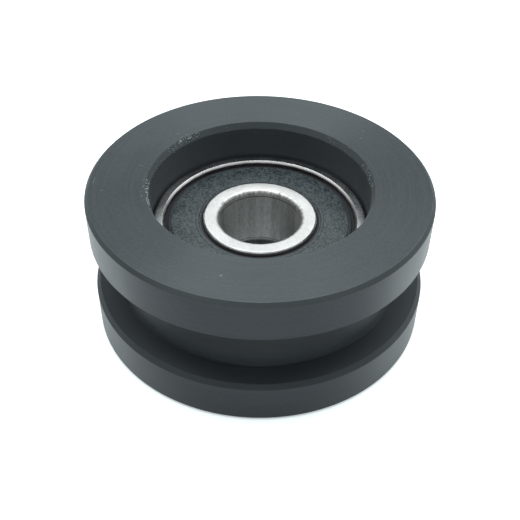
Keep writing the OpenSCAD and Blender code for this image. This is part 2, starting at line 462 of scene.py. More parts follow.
@dataclass(frozen=True)
class TurnedPlastic(Finish):
    """Black engineering plastic turned on a lathe, satin with fine rings left by the tool."""

    rims: tuple[Rim, ...]
    shaded_creases: tuple[Rim, ...]
    strokes: tuple[Stroke, ...]
    name: str = "turned_black_plastic"
    base: Colour = (0.0185, 0.0250, 0.0290)
    pale: Colour = (0.0345, 0.0415, 0.0465)
    tone_spread: float = 0.08
    side_slopes: Pair = (0.8, 0.3)
    side_evenness: float = 0.12
    bored_radii: Pair = (16.6, 16.3)
    # Painted shade and light on the groove's drum: dark under the upper flange, paler towards its
    # foot.
    drum_shade_and_light: tuple[Colour, Colour] = ((0.0120, 0.0150, 0.0175), (0.0440, 0.0540, 0.0610))
    drum_radii: Pair = (21.3, 21.15)
    drum_heights: Pair = (10.4, 6.4)
    # Painted shade on the flat walls inside the groove.
    groove_wall_shade: Colour = (0.0185, 0.0235, 0.0265)
    wall_radii: Pair = (24.45, 24.35)
    groove_middle: float = 11.0
    groove_reach: Pair = (4.6, 4.5)
    # Painted shade on the slopes near 45 degrees beyond a 20 mm radius: the chamfers and the
    # groove's rounded root.
    chamfer_shade: Colour = (0.012, 0.016, 0.018)
    chamfer_shade_radii: Pair = (20.0, 20.1)
    chamfer_shade_slopes: Pair = (0.2, 0.1)
    # Painted highlight on the flared mouth of the bearing seat.
    mouth_highlight: Colour = (0.055, 0.066, 0.071)
    mouth_radii: Pair = (17.0, 16.8)
    mouth_heights: Pair = (21.0, 21.1)
    # Painted shade in the inner corners.
    crease_shade: Colour = (0.0015, 0.0030, 0.0042)
    crease_shade_depth: float = 0.75
    paler: Colour = (0.16, 0.18, 0.19)
    edge_wear: float = 0.35
    mark_wear: float = 0.8
    roughness: Pair = (0.40, 0.48)
    side_roughness: Pair = (0.31, 0.36)
    bored_rougher: float = 0.26
    specular: float = 0.70
    gloss_tint: Colour = (0.88, 0.96, 1.0)
    sheen: float = 0.97
    sheen_turn: float = 0.25
    relief: Pair = (0.22, 0.02)

    def wear(self, graph: Graph) -> Socket:
        """Returns the mask of edge wear, dust and scratches."""
        edges = graph.product(rim_bands(graph, self.rims, breaks=0.9), self.edge_wear)
        dust = graph.effect(Specks, spacing=1.6, size=0.13, share=0.14, seed=2.0)
        marks = graph.strongest([dust, *(scuff(graph, stroke) for stroke in self.strokes)])
        return graph.math("MAXIMUM", edges, graph.product(marks, self.mark_wear))

    def inputs(self, graph: Graph) -> dict[str, Any]:
        """Builds what feeds the shader, laying colour from the skin up to painted crease shade."""
        rings = graph.effect(TurnedNoise, around=1.4, along=5.5, detail=3.0, seed=1.0)
        wide = graph.effect(TurnedNoise, around=0.8, along=0.7, detail=1.0, seed=9.0)
        grain = graph.effect(Mottle, cells=2.6, detail=4.0, seed=3.0)
        clouds = graph.effect(Mottle, cells=0.16, detail=2.0, seed=7.0)
        tone = graph.weighted((rings, 0.4), (grain, 0.45), (clouds, 0.15))
        normal = graph.node("ShaderNodeTexCoord").outputs["Normal"]
        upright = graph.math("ABSOLUTE", graph.split(normal, "Z"))
        side = graph.remap(upright, self.side_slopes, smooth=True)
        at = graph.place()
        bored = graph.remap(at.radius, self.bored_radii, smooth=True)
        outside = graph.inverse(bored)
        low = graph.math("MULTIPLY_ADD", side, -self.side_evenness, 0.5 - self.tone_spread)
        high = graph.math("MULTIPLY_ADD", side, self.side_evenness, 0.5 + self.tone_spread)
        drum = graph.product(graph.remap(at.radius, self.drum_radii, smooth=True), side, outside)
        in_groove = graph.remap(graph.gap(at.height, self.groove_middle), self.groove_reach)
        inboard = graph.remap(at.radius, self.wall_radii)
        sloped = graph.remap(graph.gap(upright, math.sqrt(0.5)), self.chamfer_shade_slopes)
        high_up = graph.remap(at.height, self.mouth_heights)
        flared = graph.remap(at.radius, self.mouth_radii)
        shaded_creases = rim_bands(graph, self.shaded_creases, breaks=0.1)
        wear = self.wear(graph)
        colour = graph.paint(
            graph.blend(graph.remap(tone, (low, high)), self.base, self.pale),
            (wear, self.paler),
            # Painted shade and light on the drum.
            (drum, graph.blend(graph.remap(at.height, self.drum_heights), *self.drum_shade_and_light)),
            # Painted shade on the groove's walls.
            (graph.product(in_groove, inboard, graph.inverse(side), outside), self.groove_wall_shade),
            # Painted shade on the chamfers.
            (graph.product(sloped, graph.remap(at.radius, self.chamfer_shade_radii)), self.chamfer_shade),
            # Painted highlight on the flared mouth.
            (graph.product(high_up, side, flared), self.mouth_highlight),
            # Painted shade in the creases.
            (graph.remap(shaded_creases, (0.0, 0.6), (0.0, self.crease_shade_depth)), self.crease_shade),
        )
        ringed = graph.remap(graph.math("ADD", tone, wear), (0.35, 0.75), self.roughness)
        even = graph.remap(graph.math("ADD", clouds, wear), (0.3, 0.8), self.side_roughness)
        rough = graph.mix(side, ringed, even)
        depth = graph.weighted((rings, 0.6), (wide, 0.25), (grain, 0.35))
        return {
            "Base Color": colour,
            "Roughness": graph.math("MULTIPLY_ADD", bored, self.bored_rougher, rough),
            "Specular IOR Level": self.specular,
            "Specular Tint": self.gloss_tint,
            "Anisotropic": self.sheen,
            "Anisotropic Rotation": self.sheen_turn,
            "Tangent": graph.out("ShaderNodeTangent", direction_type="RADIAL", axis="Z"),
            "Normal": graph.bump(depth, *self.relief),
        }


@dataclass(frozen=True)
class AbradedPlastic(Finish):
    """The same plastic torn into burrs and shavings, which scatter light and look pale."""

    name: str = "torn_plastic_burrs"
    base: Colour = (0.50, 0.54, 0.55)
    deep: Colour = (0.12, 0.14, 0.15)
    contrast: Pair = (0.35, 0.6)
    roughness: float = 0.6
    relief: Pair = (0.4, 0.02)

    def inputs(self, graph: Graph) -> dict[str, Any]:
        """Builds what feeds the shader."""
        tone = graph.effect(Mottle, cells=7.0, detail=2.0, seed=5.0)
        return {
            "Base Color": graph.blend(graph.remap(tone, self.contrast), self.deep, self.base),
            "Roughness": self.roughness,
            "Normal": graph.bump(tone, *self.relief),
        }


@dataclass(frozen=True)
class GroundSteel(Finish):
    """Hardened ring steel with ground faces, a honed bore and dark rims, partly painted shade."""

    name: str
    base: Colour
    shade: Colour
    grain_cells: float
    grinding: Pair
    dark_rims: tuple[Rim, ...]
    strokes: tuple[Stroke, ...] = ()
    nicks: tuple[Stroke, ...] = ()
    grain_share: float = 0.6
    contrast: Pair = (0.38, 0.60)
    relief: Pair = (0.10, 0.012)
    roughness: Pair = (0.26, 0.34)
    bore_edge: float = 0.0
    bore_colours: tuple[Colour, Colour] = ((0.46, 0.47, 0.46), (0.74, 0.76, 0.75))
    bore_contrast: Pair = (0.40, 0.60)
    bore_fade: float = 0.08
    bore_roughness: float = 0.5
    # Painted shade with a brown tint: the rounded bore corner darkens deeper in, broken into
    # streaks.
    corner_shade_colours: tuple[Colour, Colour] = ((0.62, 0.63, 0.62), (0.18, 0.17, 0.16))
    corner_reach: Pair = (0.68, 0.50)
    scraping: float = 3.6
    corner_shade_depths: Pair = (1.75, 2.85)
    # Painted highlight: a near-white colour inside this radius, on the outer ring's seal bevel.
    highlight_radius: float = 0.0
    bevel_highlight: Colour = (0.90, 0.90, 0.90)
    # Dark tint for the rims and the nicks: on the outer ring the rims are painted shade in the
    # seal's gap and on the rounded outer corner.
    dark_tint: Colour = (0.085, 0.07, 0.055)
    dark_rim_share: float = 0.9
    scratch_share: float = 0.8
    half_width: float = 5.0
    middle: float = 11.0

    def inputs(self, graph: Graph) -> dict[str, Any]:
        """Builds what feeds the shader."""
        around, along = self.grinding
        grain = graph.effect(Mottle, cells=self.grain_cells, detail=5.0, seed=11.0)
        ground = graph.effect(TurnedNoise, around=around, along=along, detail=3.0, seed=6.0)
        clouds = graph.effect(Mottle, cells=0.3, detail=1.0, seed=13.0)
        scraped = graph.effect(TurnedNoise, around=15.0, along=0.7, detail=5.0, seed=5.0)
        # Broad light and dark bands round the bore: painted reflection, mixed below with the honing
        # streaks and pits.
        reflection_bands = graph.effect(TurnedNoise, around=4.5, along=0.05, detail=1.0, seed=49.2)
        fine = graph.effect(TurnedNoise, around=30.0, along=1.2, detail=4.0, seed=3.0)
        pits = graph.effect(Mottle, cells=5.0, detail=2.0, seed=9.0)
        honed = graph.weighted((reflection_bands, 0.36), (fine, 0.28), (pits, 0.36))
        tone = graph.weighted((ground, 1.0 - self.grain_share), (grain, self.grain_share))
        at = graph.place()
        depth = graph.math("SUBTRACT", self.half_width, graph.gap(at.height, self.middle))
        streaked_depth = graph.math("MULTIPLY_ADD", scraped, self.scraping, depth)
        corner = graph.blend(graph.remap(streaked_depth, self.corner_shade_depths), *self.corner_shade_colours)
        edge, highlight_edge = self.bore_edge, self.highlight_radius
        near_bore = graph.remap(at.radius, tuple(edge + reach for reach in self.corner_reach))
        bored = graph.remap(at.radius, (edge + self.bore_fade, edge), smooth=True)
        face = graph.blend(graph.remap(tone, self.contrast), self.shade, self.base)
        darkened = rim_bands(graph, self.dark_rims, breaks=0.35)
        layers = [
            # Painted shade on the bore corner.
            (near_bore, corner),
            # The honed bore, its broad bands painted reflection.
            (bored, graph.blend(graph.remap(honed, self.bore_contrast), *self.bore_colours)),
            # Painted highlight on the bevel.
            (graph.remap(at.radius, (highlight_edge + 0.01, highlight_edge)), self.bevel_highlight),
            # Dark rims: painted shade in the outer ring's gap and corner, dark bands at the inner
            # ring's bore mouths.
            (graph.product(darkened, self.dark_rim_share), self.dark_tint),
        ]
        if self.strokes:
            scratched = graph.strongest(scuff(graph, stroke) for stroke in self.strokes)
            layers.append((graph.product(scratched, self.scratch_share), WHITE))
        layers += [(scuff(graph, nick), self.dark_tint) for nick in self.nicks]
        rough = graph.remap(clouds, (0.3, 0.7), self.roughness)
        honed_rough = graph.product(near_bore, self.bore_roughness)
        return {
            "Base Color": graph.paint(face, *layers),
            "Metallic": 1.0,
            "Roughness": graph.math("MAXIMUM", rough, honed_rough),
            "Normal": graph.bump(graph.weighted((ground, 0.8), (grain, 1.0)), *self.relief),
        }


@dataclass(frozen=True)
class MouldedRubber(Finish):
    """Nitrile rubber moulded over a seal's insert: dull, faintly cloudy and finely pitted."""

    name: str = "moulded_seal_rubber"
    base: Colour = (0.008, 0.014, 0.016)
    pale: Colour = (0.058, 0.076, 0.083)
    # Painted shade for the gaps at the seal's outer rim and at its inner lip.
    dark_tint: Colour = (0.026, 0.026, 0.031)
    fleck: Colour = (0.20, 0.235, 0.25)
    # Paler towards the inner lip, broken up by the grain.
    paler_inwards: Colour = (0.085, 0.105, 0.112)
    contrast: Pair = (0.41, 0.60)
    fleck_share: float = 0.6
    paler_inwards_share: float = 0.55
    paler_inwards_radii: Pair = (13.2, 9.2)
    rim_radii: Pair = (13.24, 13.48)
    lip_radii: Pair = (9.00, 8.76)
    specular: float = 0.40
    roughness: Pair = (0.30, 0.42)
    relief: Pair = (0.5, 0.03)

    def inputs(self, graph: Graph) -> dict[str, Any]:
        """Builds what feeds the shader."""
        grain = graph.effect(Mottle, cells=3.2, detail=4.0, seed=8.0)
        clouds = graph.effect(Mottle, cells=0.35, detail=2.0, seed=1.0)
        flecks = graph.effect(Specks, spacing=0.42, size=0.12, share=0.24, seed=3.0)
        tone = graph.remap(graph.weighted((clouds, 0.15), (grain, 0.85)), self.contrast)
        radius = graph.place().radius
        paler = graph.remap(radius, self.paler_inwards_radii, (0.0, self.paler_inwards_share))
        outer, inner = graph.remap(radius, self.rim_radii), graph.remap(radius, self.lip_radii)
        shaded_gaps = graph.math("MAXIMUM", outer, inner)
        rough = graph.remap(tone, (0.0, 1.0), self.roughness)
        return {
            "Base Color": graph.paint(
                graph.blend(tone, self.base, self.pale),
                (graph.product(flecks, self.fleck_share), self.fleck),
                # Paler towards the inner lip.
                (graph.product(paler, grain), self.paler_inwards),
                # Painted shade in the gaps.
                (shaded_gaps, self.dark_tint),
            ),
            "Roughness": graph.math("MAXIMUM", rough, shaded_gaps),
            "Specular IOR Level": self.specular,
            "Normal": graph.bump(grain, *self.relief),
        }


@dataclass(frozen=True)
class BrightMetal(Finish):
    """A metal finish with a fine grain: lapped balls, pressed cage sheet or a plated insert."""

    name: str
    base: Colour
    darker: float
    roughness: Pair
    cells: float
    relief: Pair = (0.2, 0.01)
    contrast: Pair = (0.38, 0.62)

    def inputs(self, graph: Graph) -> dict[str, Any]:
        """Builds what feeds the shader."""
        noise = graph.effect(Mottle, cells=self.cells, detail=4.0, seed=2.0)
        tone = graph.remap(noise, self.contrast)
        return {
            "Base Color": graph.blend(tone, tuple(c - self.darker for c in self.base), self.base),
            "Metallic": 1.0,
            "Roughness": graph.remap(tone, (0.0, 1.0), self.roughness),
            "Normal": graph.bump(tone, *self.relief),
        }


# Turned pieces


@dataclass(frozen=True)
class Corner:
    """One corner of a turned piece's section: its radius, its height and how far it is rounded."""

    r: float
    z: float
    rounding: float = 0.0


def arc(centre: Pair, radius: float, start: float, stop: float, steps: int) -> list[Corner]:
    """Gives the points of a circular arc in a section.

    Args:
        centre: The arc's centre, as radius and height.
        radius: The arc's own radius.
        start: The angle of the first point in degrees, from the outward direction towards up.
        stop: The angle of the last point in degrees.
        steps: The number of straight steps.

    Returns:
        The points, from first to last.
    """
    r, z = centre
    angles = [math.radians(start + (stop - start) * i / steps) for i in range(steps + 1)]
    return [Corner(r + radius * math.cos(a), z + radius * math.sin(a)) for a in angles]


def with_holding_points(outline: list[Corner], gap: float) -> list[Corner]:
    """Adds points beside each rounded corner, so that the faces beyond it stay flat when shaded.

    Args:
        outline: The corners of a closed section, anticlockwise.
        gap: How far beyond the rounding a point lies.

    Returns:
        The longer outline.
    """
    spots = [Vector((c.r, c.z)) for c in outline]
    count = len(spots)

    def tangent(i: int) -> float:
        """Returns how much of each edge the rounding of corner i takes up."""
        before = (spots[i] - spots[i - 1]).normalized()
        after = (spots[(i + 1) % count] - spots[i]).normalized()
        turn = math.acos(max(-1.0, min(1.0, before.dot(after))))
        return outline[i].rounding * math.tan(turn / 2)

    longer: list[Corner] = []
    for i, corner in enumerate(outline):
        j = (i + 1) % count
        run = spots[j] - spots[i]
        near, far = tangent(i) + gap, tangent(j) + gap
        longer.append(corner)
        if run.length <= near + far + gap:
            continue
        along = run.normalized()
        if corner.rounding:
            longer.append(Corner(*(spots[i] + along * near)))
        if outline[j].rounding:
            longer.append(Corner(*(spots[j] - along * far)))
    return longer


def start_tree(name: str, inputs: Mapping[str, str], output: str) -> tuple[Tree, Graph, Any]:
    """Starts a Geometry Nodes tree.

    Args:
        name: The tree's name.
        inputs: The name and the socket type of each input.
        output: The name of the geometry that it puts out.

    Returns:
        The tree, its graph and the sockets of its inputs.
    """
    tree = bpy.data.node_groups.new(name, "GeometryNodeTree")
    for label, kind in inputs.items():
        tree.interface.new_socket(label, in_out="INPUT", socket_type=f"NodeSocket{kind}")
    tree.interface.new_socket(output, in_out="OUTPUT", socket_type="NodeSocketGeometry")
    graph = Graph(tree)
    return tree, graph, graph.node("NodeGroupInput").outputs


def end_tree(graph: Graph, geometry: Socket, finish: Socket) -> None:
    """Realises a tree's instances, covers the result with its material and puts it out."""
    whole = graph.out("GeometryNodeRealizeInstances", {0: geometry})
    dressed = graph.out("GeometryNodeSetMaterial", {"Geometry": whole, "Material": finish})
    graph.node("NodeGroupOutput", {0: dressed})


def made_by_nodes(
    name: str, source: bpy.types.Mesh, steps: Iterable[tuple[Tree, Mapping[str, Any]]]
) -> Piece:
    """Runs Geometry Nodes trees on a mesh and keeps the result as a plain mesh.

    Args:
        name: The name of the finished piece.
        source: The mesh that the first tree starts from.
        steps: The trees in order, each with the values of its inputs by name.

    Returns:
        The finished object, which has no modifiers.
    """
    maker = bpy.data.objects.new(f"{name}_maker", source)
    bpy.context.scene.collection.objects.link(maker)
    for tree, values in steps:
        modifier = maker.modifiers.new(tree.name, "NODES")
        modifier.node_group = tree
        for item in tree.interface.items_tree:
            if item.in_out == "INPUT" and item.name in values:
                modifier[item.identifier] = values[item.name]
    bpy.context.view_layer.update()
    evaluated = maker.evaluated_get(bpy.context.evaluated_depsgraph_get())
    mesh = bpy.data.meshes.new_from_object(evaluated)
    mesh.name = name
    bpy.data.objects.remove(maker)
    piece = bpy.data.objects.new(name, mesh)
    bpy.context.scene.collection.objects.link(piece)
    return piece


class Lathe:
    """Turns a section about the spin axis with a Geometry Nodes tree."""

    TREE = "Turned piece"
    ROUNDING = "rounding"
    INPUTS = {
        "Section": "Geometry",
        "Segments": "Int",
        "Corner steps": "Int",
        "Mean radius": "Float",
        "Crease": "Float",
        "Finish": "Material",
    }
    SEGMENTS = 256
    CORNER_STEPS = 5
    CREASE = math.radians(31)
    MEAN_RADIUS = 10 * MM
    HOLDING_GAP = 0.05

    @classmethod
    def tree(cls) -> Tree:
        """Returns the tree, which rounds the corners of a section and sweeps it round the axis."""
        known = bpy.data.node_groups.get(cls.TREE)
        if known is not None:
            return known
        tree, graph, given = start_tree(cls.TREE, cls.INPUTS, "Piece")
        section = graph.out("GeometryNodeMeshToCurve", {0: given["Section"]})
        name = {"Name": cls.ROUNDING}
        fillet = {
            "Curve": section,
            "Count": given["Corner steps"],
            "Radius": graph.out("GeometryNodeInputNamedAttribute", name, data_type="FLOAT"),
            "Limit Radius": True,
        }
        rounded = graph.out("GeometryNodeFilletCurve", fillet, mode="POLY")
        back = graph.math("MULTIPLY", given["Mean radius"], -1.0)
        stand = {
            "Geometry": rounded,
            "Translation": graph.out("ShaderNodeCombineXYZ", {0: back}),
            "Rotation": (math.pi / 2, 0.0, 0.0),
        }
        laid = graph.out("GeometryNodeTransform", stand)
        ring = {"Resolution": given["Segments"], "Radius": given["Mean radius"]}
        circle = graph.out("GeometryNodeCurvePrimitiveCircle", ring, mode="RADIUS")
        swept = graph.out("GeometryNodeCurveToMesh", {"Curve": circle, "Profile Curve": laid})
        outward = graph.out("GeometryNodeFlipFaces", {"Mesh": swept})
        angle = graph.node("GeometryNodeInputMeshEdgeAngle").outputs["Unsigned Angle"]
        sharp = graph.math("GREATER_THAN", angle, given["Crease"])
        shade = {"Geometry": outward, "Shade Smooth": True}
        smooth = graph.out("GeometryNodeSetShadeSmooth", shade, domain="FACE")
        crease = {"Geometry": smooth, "Selection": sharp, "Shade Smooth": False}
        creased = graph.out("GeometryNodeSetShadeSmooth", crease, domain="EDGE")
        end_tree(graph, creased, given["Finish"])
        return tree

    @classmethod
    def turn(cls, name: str, outline: list[Corner], finish: Material) -> Piece:
        """Makes one turned piece.

        Args:
            name: The piece's name.
            outline: The corners of its section, anticlockwise with radius rightwards, height up.
            finish: The material that covers it.

        Returns:
            The finished object, at the origin with its place in its mesh.
        """
        corners = with_holding_points(outline, cls.HOLDING_GAP)
        count = len(corners)
        mesh = bpy.data.meshes.new(f"{name}_section")
        spots = [(c.r * MM, 0.0, c.z * MM) for c in corners]
        mesh.from_pydata(spots, [(i, (i + 1) % count) for i in range(count)], [])
        rounding = mesh.attributes.new(cls.ROUNDING, "FLOAT", "POINT")
        rounding.data.foreach_set("value", [c.rounding * MM for c in corners])
        values = {
            "Segments": cls.SEGMENTS,
            "Corner steps": cls.CORNER_STEPS,
            "Mean radius": cls.MEAN_RADIUS,
            "Crease": cls.CREASE,
            "Finish": finish,
        }
        return made_by_nodes(name, mesh, [(cls.tree(), values)])


def seat_piece(piece: Piece, body: Body, slot: Slot, stands_for: str | None = None) -> None:
    """Puts a finished piece on its body and reports it.

    Args:
        piece: The finished piece.
        body: The body that it moves with.
        slot: The record's material slot that it belongs to.
        stands_for: The CAD node that it replaces, if it replaces one.
    """
    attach(piece, body.value)
    if stands_for is not None:
        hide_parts(stands_for)
    faces = len(piece.data.polygons)
    LOG.info("%s rides on %s with %d faces, slot %s", piece.name, body.value, faces, slot.value)


# The wheel


@dataclass(frozen=True)
class BurrPatch:
    """A stretch of the mouth where the tool tore the plastic, in degrees round from +X."""

    middle: float
    spread: float
    count: int
    seed: int
    size: float
    drop: float = 1.0


@dataclass
class MouthBurrs:
    """Short torn shavings along the recess mouth, which curl and stand every way."""

    mouth_radius: float
    mouth_height: float
    mouth_depth: float
    sunk_in: Pair = (0.02, 0.09)
    flare: float = 0.45
    bow: Point = (0.0, 0.55, 0.1)
    thread: float = 0.22
    roll: float = 0.5
    pitch: float = 0.35
    yaw: float = 0.9
    smallest: float = 0.35
    patches: tuple[BurrPatch, ...] = (
        BurrPatch(middle=189, spread=11, count=70, seed=3, size=0.26, drop=0.75),
        BurrPatch(middle=135, spread=5, count=34, seed=11, size=0.26, drop=0.3),
        BurrPatch(middle=137, spread=12, count=56, seed=14, size=0.18, drop=0.7),
        BurrPatch(middle=165, spread=28, count=46, seed=5, size=0.14),
        BurrPatch(middle=10, spread=10, count=34, seed=8, size=0.20),
        BurrPatch(middle=42, spread=10, count=20, seed=9, size=0.14),
        BurrPatch(middle=109, spread=0.6, count=2, seed=6, size=0.24),
    )

    def tree(self) -> Tree:
        """Returns the tree that adds one patch of shavings to what is there."""
        floats = ("Middle", "Spread", "Mouth radius", "Mouth height", "Drop", "Size")
        inputs = {"Others": "Geometry", "Count": "Int", **dict.fromkeys(floats, "Float")}
        inputs |= {"Seed": "Int", "Finish": "Material"}
        tree, graph, given = start_tree("Mouth burrs", inputs, "Burrs")

        def draw(low: float | Socket, high: float | Socket, turn: int) -> Socket:
            """Returns a random number for each point between two ends, its own for each turn."""
            seed = graph.math("ADD", given["Seed"], 17.0 * turn)
            ends = {2: low, 3: high, "Seed": seed}
            return graph.node("FunctionNodeRandomValue", ends, data_type="FLOAT").outputs[1]

        lowest = graph.math("SUBTRACT", given["Middle"], given["Spread"])
        highest = graph.math("ADD", given["Middle"], given["Spread"])
        round_from_x = draw(lowest, highest, 1)
        sunk = graph.product(draw(0.0, 1.0, 2), given["Drop"])
        radius = graph.math("SUBTRACT", given["Mouth radius"], graph.product(sunk, self.flare))
        spot = {
            0: graph.product(radius, graph.math("COSINE", round_from_x)),
            1: graph.product(radius, graph.math("SINE", round_from_x)),
            2: graph.math("SUBTRACT", given["Mouth height"], sunk),
        }
        place = graph.out("ShaderNodeCombineXYZ", spot)
        points = graph.out("GeometryNodePoints", {"Count": given["Count"], "Position": place})
        ends = {"Start": (-0.5, 0.0, 0.0), "Middle": self.bow, "End": (0.5, 0.0, 0.0)}
        curl = graph.out("GeometryNodeCurveQuadraticBezier", {"Resolution": 4, **ends})
        ring = {"Resolution": 5, "Radius": self.thread}
        thread = graph.out("GeometryNodeCurvePrimitiveCircle", ring, mode="RADIUS")
        sweep = {"Curve": curl, "Profile Curve": thread, "Fill Caps": True}
        shaving = graph.out("GeometryNodeCurveToMesh", sweep)
        along_edge = graph.math("ADD", round_from_x, math.pi / 2)
        angles = {
            0: draw(-self.roll, self.roll, 3),
            1: draw(-self.pitch, self.pitch, 4),
            2: graph.math("ADD", along_edge, draw(-self.yaw, self.yaw, 5)),
        }
        turned = {0: graph.out("ShaderNodeCombineXYZ", angles)}
        scatter = {
            "Points": points,
            "Instance": shaving,
            "Rotation": graph.out("FunctionNodeEulerToRotation", turned),
            "Scale": graph.product(given["Size"], draw(self.smallest, 1.0, 6)),
        }
        placed = graph.out("GeometryNodeInstanceOnPoints", scatter)
        joined = graph.node("GeometryNodeJoinGeometry", {0: placed})
        tree.links.new(given["Others"], joined.inputs[0])
        end_tree(graph, joined.outputs[0], given["Finish"])
        return tree

    def build(self) -> None:
        """Makes the shavings as one piece and puts it on the wheel's body."""
        tree, finish = self.tree(), AbradedPlastic().material()
        inward, down = self.sunk_in
        steps = [
            (
                tree,
                {
                    "Count": patch.count,
                    "Middle": math.radians(patch.middle),
                    "Spread": math.radians(patch.spread),
                    "Mouth radius": (self.mouth_radius - inward) * MM,
                    "Mouth height": (self.mouth_height - down) * MM,
                    "Drop": self.mouth_depth * patch.drop * MM,
                    "Size": patch.size * MM,
                    "Seed": patch.seed,
                    "Finish": finish,
                },
            )
            for patch in self.patches
        ]
        burrs = made_by_nodes("mouth_burrs", bpy.data.meshes.new("burr_source"), steps)
        seat_piece(burrs, Body.WHEEL, Slot.WHEEL)


@dataclass
class PlasticWheel:
    """The turned plastic wheel: two flanges, a square groove between them and a bearing seat."""

    radius: float = 25.0
    width: float = 22.0
    edge_chamfer: float = 0.5
    lower_edge_chamfer: float = 0.3
    groove_width: float = 8.7
    groove_depth: float = 3.9
    groove_chamfer: float = 0.6
    root_radius: float = 0.25
    seat_radius: float = 16.01
    seat_height: float = 6.0
    bearing_top: float = 16.0
    mouth_flare: float = 0.45
    mouth_depth: float = 1.0
    shoulder_radius: float = 14.7
    lower_chamfer: float = 0.5
    tool_break: float = 0.1
    crease_shade_reach: float = 0.34

    @property
    def groove_floor(self) -> float:
        """The height of the groove's lower wall."""
        return (self.width - self.groove_width) / 2

    def outline(self) -> list[Corner]:
        """Returns the section, anticlockwise from the lower mouth."""
        soft = self.tool_break
        low = self.groove_floor
        high = low + self.groove_width
        root = self.radius - self.groove_depth
        lip = self.radius - self.groove_chamfer
        return [
            Corner(self.shoulder_radius + self.lower_chamfer, 0.0, soft),
            Corner(self.radius - self.lower_edge_chamfer, 0.0, soft),
            Corner(self.radius, self.lower_edge_chamfer, soft),
            Corner(self.radius, low - self.groove_chamfer, 2 * soft),
            Corner(lip, low, soft),
            Corner(root, low, self.root_radius),
            Corner(root, high, self.root_radius),
            Corner(lip, high, soft),
            Corner(self.radius, high + self.groove_chamfer, 2 * soft),
            Corner(self.radius, self.width - self.edge_chamfer, 2 * soft),
            Corner(self.radius - self.edge_chamfer, self.width, 2 * soft),
            Corner(self.seat_radius + self.mouth_flare, self.width, soft),
            Corner(self.seat_radius, self.width - self.mouth_depth, soft),
            Corner(self.seat_radius, self.seat_height, soft),
            Corner(self.shoulder_radius, self.seat_height, soft),
            Corner(self.shoulder_radius, self.lower_chamfer, soft),
        ]

    def rims(self) -> tuple[Rim, ...]:
        """Returns the edges that show wear."""
        return (
            Rim(self.seat_radius + self.mouth_flare, self.width, 0.16),
            Rim(self.seat_radius, self.width - self.mouth_depth, 0.12),
            Rim(self.radius - self.edge_chamfer, self.width, 0.14),
            Rim(self.radius - self.groove_chamfer, self.groove_floor, 0.12),
        )

    def shaded_creases(self) -> tuple[Rim, ...]:
        """Returns the corners given painted shade: the groove's root and the bearing's edge."""
        root = self.radius - self.groove_depth + self.tool_break
        return (
            Rim(root, self.groove_floor, self.crease_shade_reach),
            Rim(self.seat_radius, self.bearing_top, self.crease_shade_reach),
        )

    def strokes(self) -> tuple[Stroke, ...]:
        """Returns the scratches and stuck specks of the upper face and of the groove's floor.

        Each row has the start and the end across the axis, and the width.
        """
        on_face = (
            (-17.9, 4.1, -17.2, 3.9, 0.07),
            (-4.8, -19.8, -4.75, -19.75, 0.30),
            (-23.9, -0.6, -23.8, 0.6, 0.09),
            (-22.5, -2.3, -22.4, -2.3, 0.16),
            (15.9, 14.0, 16.0, 14.1, 0.13),
            (15.4, 12.1, 15.5, 12.2, 0.12),
            (-13.2, 12.6, -12.6, 12.6, 0.10),
            (-16.7, -1.3, -16.6, -1.0, 0.12),
            (-16.9, -2.4, -16.8, -2.4, 0.12),
            (-16.8, 0.2, -16.7, 0.4, 0.10),
            (-16.7, -3.3, -16.6, -3.6, 0.12),
            (-16.3, -4.4, -16.3, -4.5, 0.10),
            (-12.3, 11.7, -12.2, 11.8, 0.10),
            (-11.5, 12.4, -11.3, 12.5, 0.10),
        )
        in_groove = ((10.4, -21.2, 10.9, -21.1, 0.10), (12.9, -20.3, 13.2, -20.0, 0.10))
        return strokes_at(self.width, on_face) + strokes_at(self.groove_floor, in_groove)

    def build(self) -> None:
        """Makes the wheel and its burrs and puts them on the wheel's body."""
        finish = TurnedPlastic(self.rims(), self.shaded_creases(), self.strokes()).material()
        body = Lathe.turn("turned_wheel", self.outline(), finish)
        seat_piece(body, Body.WHEEL, Slot.WHEEL, "wheel_body")
        MouthBurrs(self.seat_radius + self.mouth_flare, self.width, self.mouth_depth).build()


# The bearing


